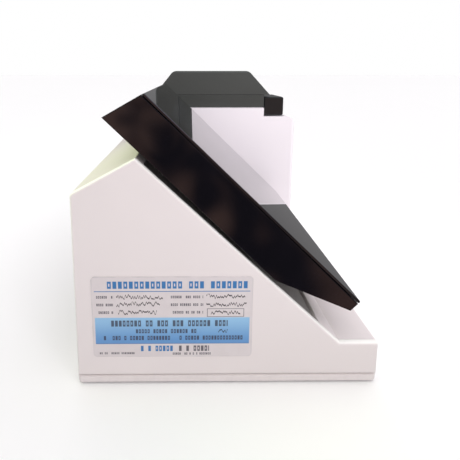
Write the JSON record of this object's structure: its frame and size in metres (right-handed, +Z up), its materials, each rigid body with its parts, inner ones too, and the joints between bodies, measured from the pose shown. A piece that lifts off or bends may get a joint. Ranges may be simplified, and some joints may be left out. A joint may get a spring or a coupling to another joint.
{
  "type": "spectrophotometer",
  "caption": "Wedge-shaped microvolume spectrophotometer with a tilting slab display on its front slope and a hinged sampling arm on a side tower.",
  "frame": {"origin": "on the bench, under the centre of the overall outline", "axes": "+Z up, -Y towards the user at the front, +X to the right-hand side seen from the front"},
  "size_m": [0.254, 0.2098, 0.2097],
  "materials": {
    "white_housing": "fine satin moulded plastic",
    "grey_deck": "fine textured plastic",
    "display_case": "polished black plastic",
    "display_glass": "black-backed cover glass",
    "arm_shell": "satin dark grey plastic",
    "arm_head": "satin near-black plastic",
    "steel": "ground stainless steel",
    "label": "laminated paper label",
    "rubber": "moulded rubber",
    "circuit": "solder mask",
    "lcd": "display module",
    "bench_metal": "cast and anodised",
    "coil": "wound copper coil",
    "connector_black": "moulded plastic",
    "fibre_jacket": "jacketed fibre"
  },
  "bodies": {
    "chassis": {"arm_hinge_bracket": "steel", "base_tray": "white_housing", "connector_board": "circuit", "connector_panel": "grey_deck", "dc_inlet": "connector_black", "deck_insert": "grey_deck", "display_bracket": "steel", "flash_lamp_module": "bench_metal", "foot_front_left": "rubber", "foot_front_right": "rubber", "foot_rear_left": "rubber", "foot_rear_right": "rubber", "left_side_panel": "white_housing", "main_board": "circuit", "main_housing": "white_housing", "network_socket": "steel", "optical_bench": "bench_metal", "optical_bench_cover": "bench_metal", "panel_screw_left": "steel", "panel_screw_right": "steel", "pedestal_plate": "steel", "pedestal_solenoid": "coil", "power_board": "circuit", "service_label": "label", "solenoid_cradle": "steel", "spectrometer_fibre": "fibre_jacket", "tower_housing": "white_housing", "usb_socket_left": "steel", "usb_socket_right": "steel"},
    "display": {"display_rear_cover": "display_case", "display_glass": "display_glass", "lcd_panel": "lcd", "display_board": "circuit", "display_hinge_pin_left": "steel", "display_hinge_pin_right": "steel"},
    "arm": {"arm_frame": "arm_shell", "arm_cover": "arm_shell", "arm_head": "arm_head", "upper_pedestal": "steel", "arm_fibre": "fibre_jacket", "arm_hinge_pin": "steel"},
    "button": {"power_button": "connector_black"},
    "pedestal": {"lower_pedestal": "steel"}
  },
  "joints": [
    {"name": "display_tilt", "type": "hinge", "parent": "chassis", "child": "display", "pos_m": [-0.0347, -0.02867, 0.07885], "axis": [1, 0, 0], "range_deg": [0, 18]},
    {"name": "arm_hinge", "type": "hinge", "parent": "chassis", "child": "arm", "pos_m": [0.098, 0.0646, 0.1715], "axis": [-1, 0, 0], "range_deg": [0, 75]},
    {"name": "button_press", "type": "slide", "parent": "chassis", "child": "button", "axis": [0, -1, 0], "range_m": [0, 0.0015], "stiffness_N_per_m": 900, "springref_m": -0.0005},
    {"name": "pedestal_lift", "type": "slide", "parent": "chassis", "child": "pedestal", "axis": [0, 0, 1], "range_m": [0, 0.0009], "stiffness_N_per_m": 900, "springref_m": -0.0003}
  ]
}
